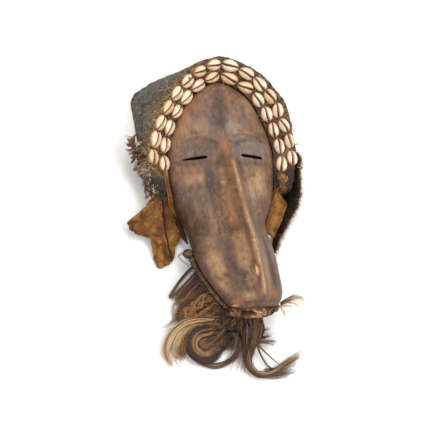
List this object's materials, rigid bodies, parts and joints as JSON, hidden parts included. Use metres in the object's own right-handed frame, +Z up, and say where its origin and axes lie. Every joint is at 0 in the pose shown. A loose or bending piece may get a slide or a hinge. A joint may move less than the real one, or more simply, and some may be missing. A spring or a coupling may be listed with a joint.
{
  "type": "dan mask",
  "caption": "Carved wooden bird-beaked Dan face mask with slit eyes, a cloth hood edged with cowrie shells, hanging leather flaps, side feathers and a hair beard.",
  "frame": {"origin": "the point of the hood's flat underside that lies on the table, below the middle of the eye line", "axes": "+Y from the beard over the beak to the top of the forehead, +X to the mask's own left, +Z up from the table, out of the face"},
  "size_m": [0.2485, 0.44, 0.0952],
  "materials": {
    "carved_wood": "worn, waxed dark patina",
    "hood_cloth": "faded, dusty weave",
    "cowrie_shell": "polished shell",
    "tan_leather": "dry, creased",
    "dark_hide": "rough, hairy",
    "beard_hair": "silky, sun bleached at the ends",
    "feathers": "frayed",
    "plant_fibre": "twisted, matt"
  },
  "bodies": {
    "root": {"wooden_mask": "carved_wood", "cloth_hood": "hood_cloth", "temple_knot": "plant_fibre", "lacing_knot": "plant_fibre", "leather_flap_right": "tan_leather", "leather_flap_left": "tan_leather", "hide_flap": "dark_hide", "beard_skin": "dark_hide", "tip_binding": "tan_leather", "beak_lacing": "plant_fibre", "feather_tuft": "feathers", "beard_lock_straight": "beard_hair", "beard_lock_curled": "beard_hair", "beard_lock_sweep": "beard_hair", "beard_lock_swirl": "beard_hair", "beard_lock_loop": "beard_hair", "beard_lock_front": "beard_hair", "beard_lock_side": "beard_hair", "beard_lock_wisp": "beard_hair", "cowrie_outer_1": "cowrie_shell", "cowrie_outer_2": "cowrie_shell", "cowrie_outer_3": "cowrie_shell", "cowrie_outer_4": "cowrie_shell", "cowrie_outer_5": "cowrie_shell", "cowrie_outer_6": "cowrie_shell", "cowrie_outer_7": "cowrie_shell", "cowrie_outer_8": "cowrie_shell", "cowrie_outer_9": "cowrie_shell", "cowrie_outer_10": "cowrie_shell", "cowrie_outer_11": "cowrie_shell", "cowrie_outer_12": "cowrie_shell", "cowrie_outer_13": "cowrie_shell", "cowrie_outer_14": "cowrie_shell", "cowrie_outer_15": "cowrie_shell", "cowrie_outer_16": "cowrie_shell", "cowrie_inner_1": "cowrie_shell", "cowrie_inner_2": "cowrie_shell", "cowrie_inner_3": "cowrie_shell", "cowrie_inner_4": "cowrie_shell", "cowrie_inner_5": "cowrie_shell", "cowrie_inner_6": "cowrie_shell", "cowrie_inner_7": "cowrie_shell", "cowrie_inner_8": "cowrie_shell", "cowrie_inner_9": "cowrie_shell", "cowrie_inner_10": "cowrie_shell", "cowrie_inner_11": "cowrie_shell", "cowrie_inner_12": "cowrie_shell", "cowrie_inner_13": "cowrie_shell", "cowrie_inner_14": "cowrie_shell"}
  },
  "joints": []
}
